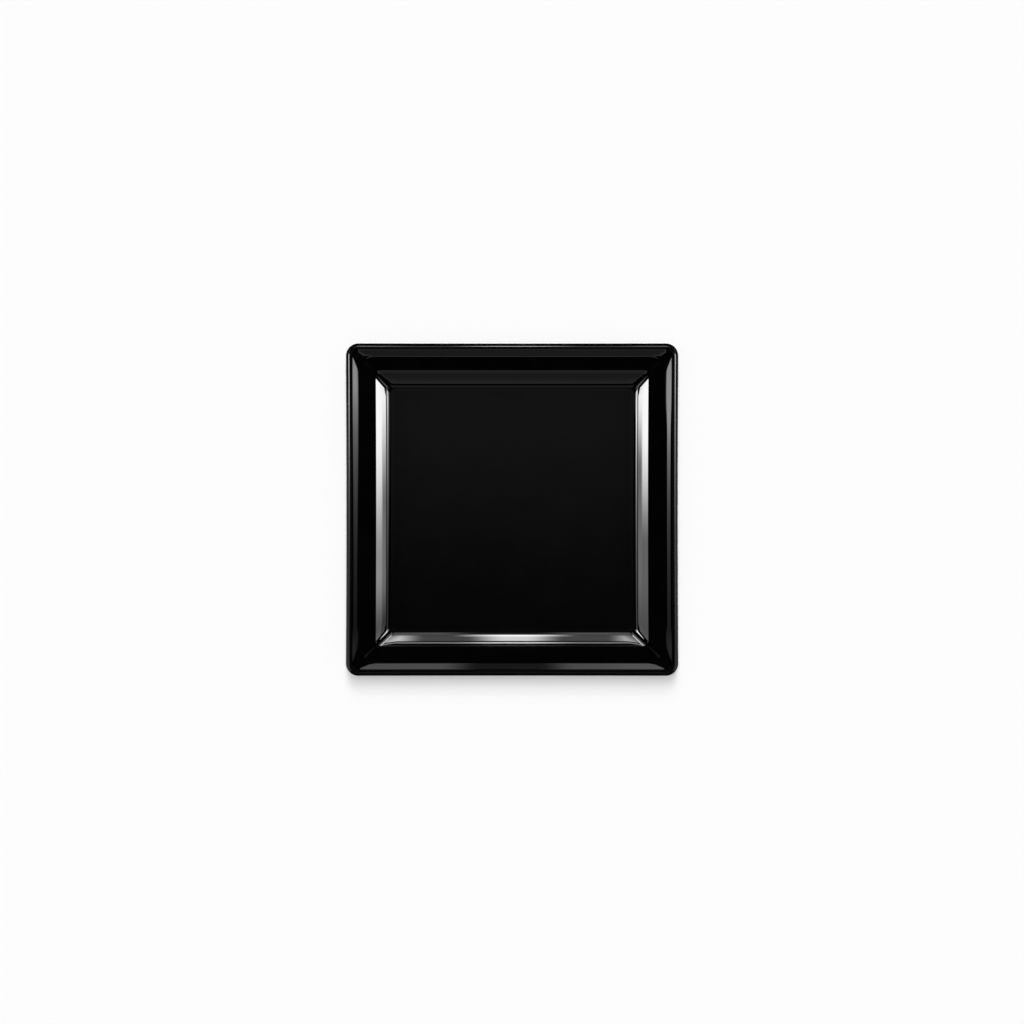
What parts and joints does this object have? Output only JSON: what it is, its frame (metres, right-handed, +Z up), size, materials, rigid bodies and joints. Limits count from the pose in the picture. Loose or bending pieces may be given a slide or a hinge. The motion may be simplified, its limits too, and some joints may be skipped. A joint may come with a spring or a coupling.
{
  "type": "square plate",
  "caption": "Square dinner plate with a flat well, sloping wall, wide flange, raised lip, bevelled turned-down edge and a low ring foot, moulded in one piece of gloss black plastic.",
  "frame": {"origin": "centre of the plate on the plane its foot stands on", "axes": "+Z up out of the well, +X and +Y square to the plate's sides"},
  "size_m": [0.254, 0.254, 0.0175],
  "materials": {
    "gloss_black": "polished gloss, opaque black"
  },
  "bodies": {
    "root": {"plate": "gloss_black"}
  },
  "joints": []
}
